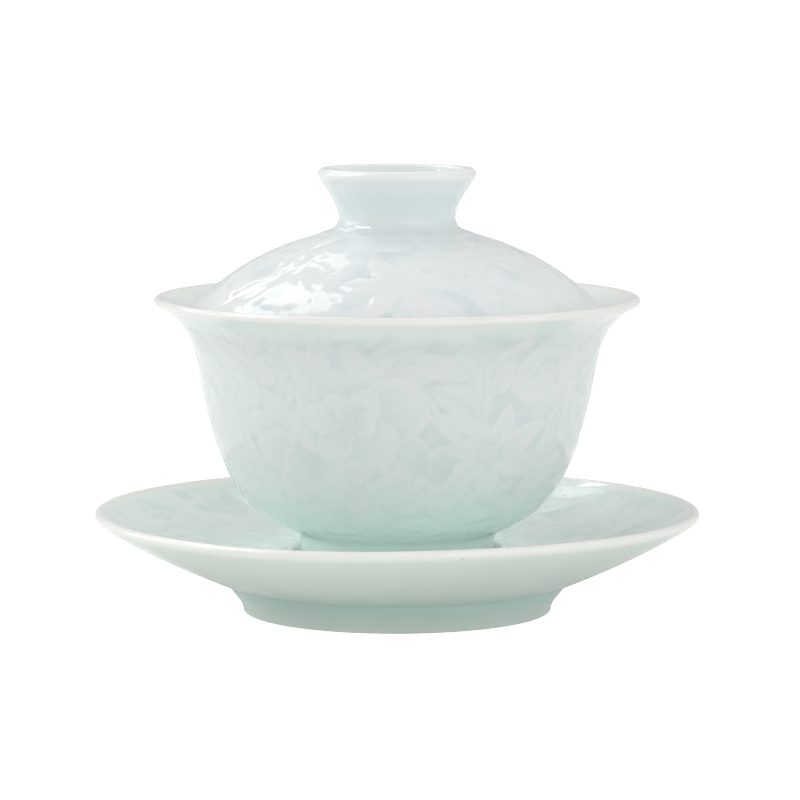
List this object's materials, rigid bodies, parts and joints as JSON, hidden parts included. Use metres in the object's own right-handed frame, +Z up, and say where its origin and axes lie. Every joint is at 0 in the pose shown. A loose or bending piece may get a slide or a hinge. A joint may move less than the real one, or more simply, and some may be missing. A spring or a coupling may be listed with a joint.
{
  "type": "gaiwan",
  "caption": "Glazed porcelain lidded tea bowl on a matching saucer, with carved flowers under a pale blue-green glaze, for steeping and drinking tea.",
  "frame": {"origin": "centre of the saucer's foot ring, on the surface that it stands on", "axes": "+Z up along the turning axis of saucer, bowl and lid; X and Y level, with nothing to tell them apart on round pieces"},
  "size_m": [0.1224, 0.1224, 0.0897],
  "materials": {
    "saucer": "glossy pale celadon glaze over shallow carved flowers",
    "bowl": "glossy pale celadon glaze over shallow carved peonies and leaves",
    "lid": "glossy pale celadon glaze over shallow carved flowers"
  },
  "bodies": {
    "saucer": {"saucer": "saucer"},
    "bowl": {"bowl": "bowl"},
    "lid": {"lid": "lid"}
  },
  "joints": [
    {"name": "bowl_lift", "type": "slide", "parent": "saucer", "child": "bowl", "axis": [0, 0, 1], "range_m": [0, 0.06]},
    {"name": "lid_lift", "type": "slide", "parent": "bowl", "child": "lid", "axis": [0, 0, 1], "range_m": [0, 0.05]}
  ]
}
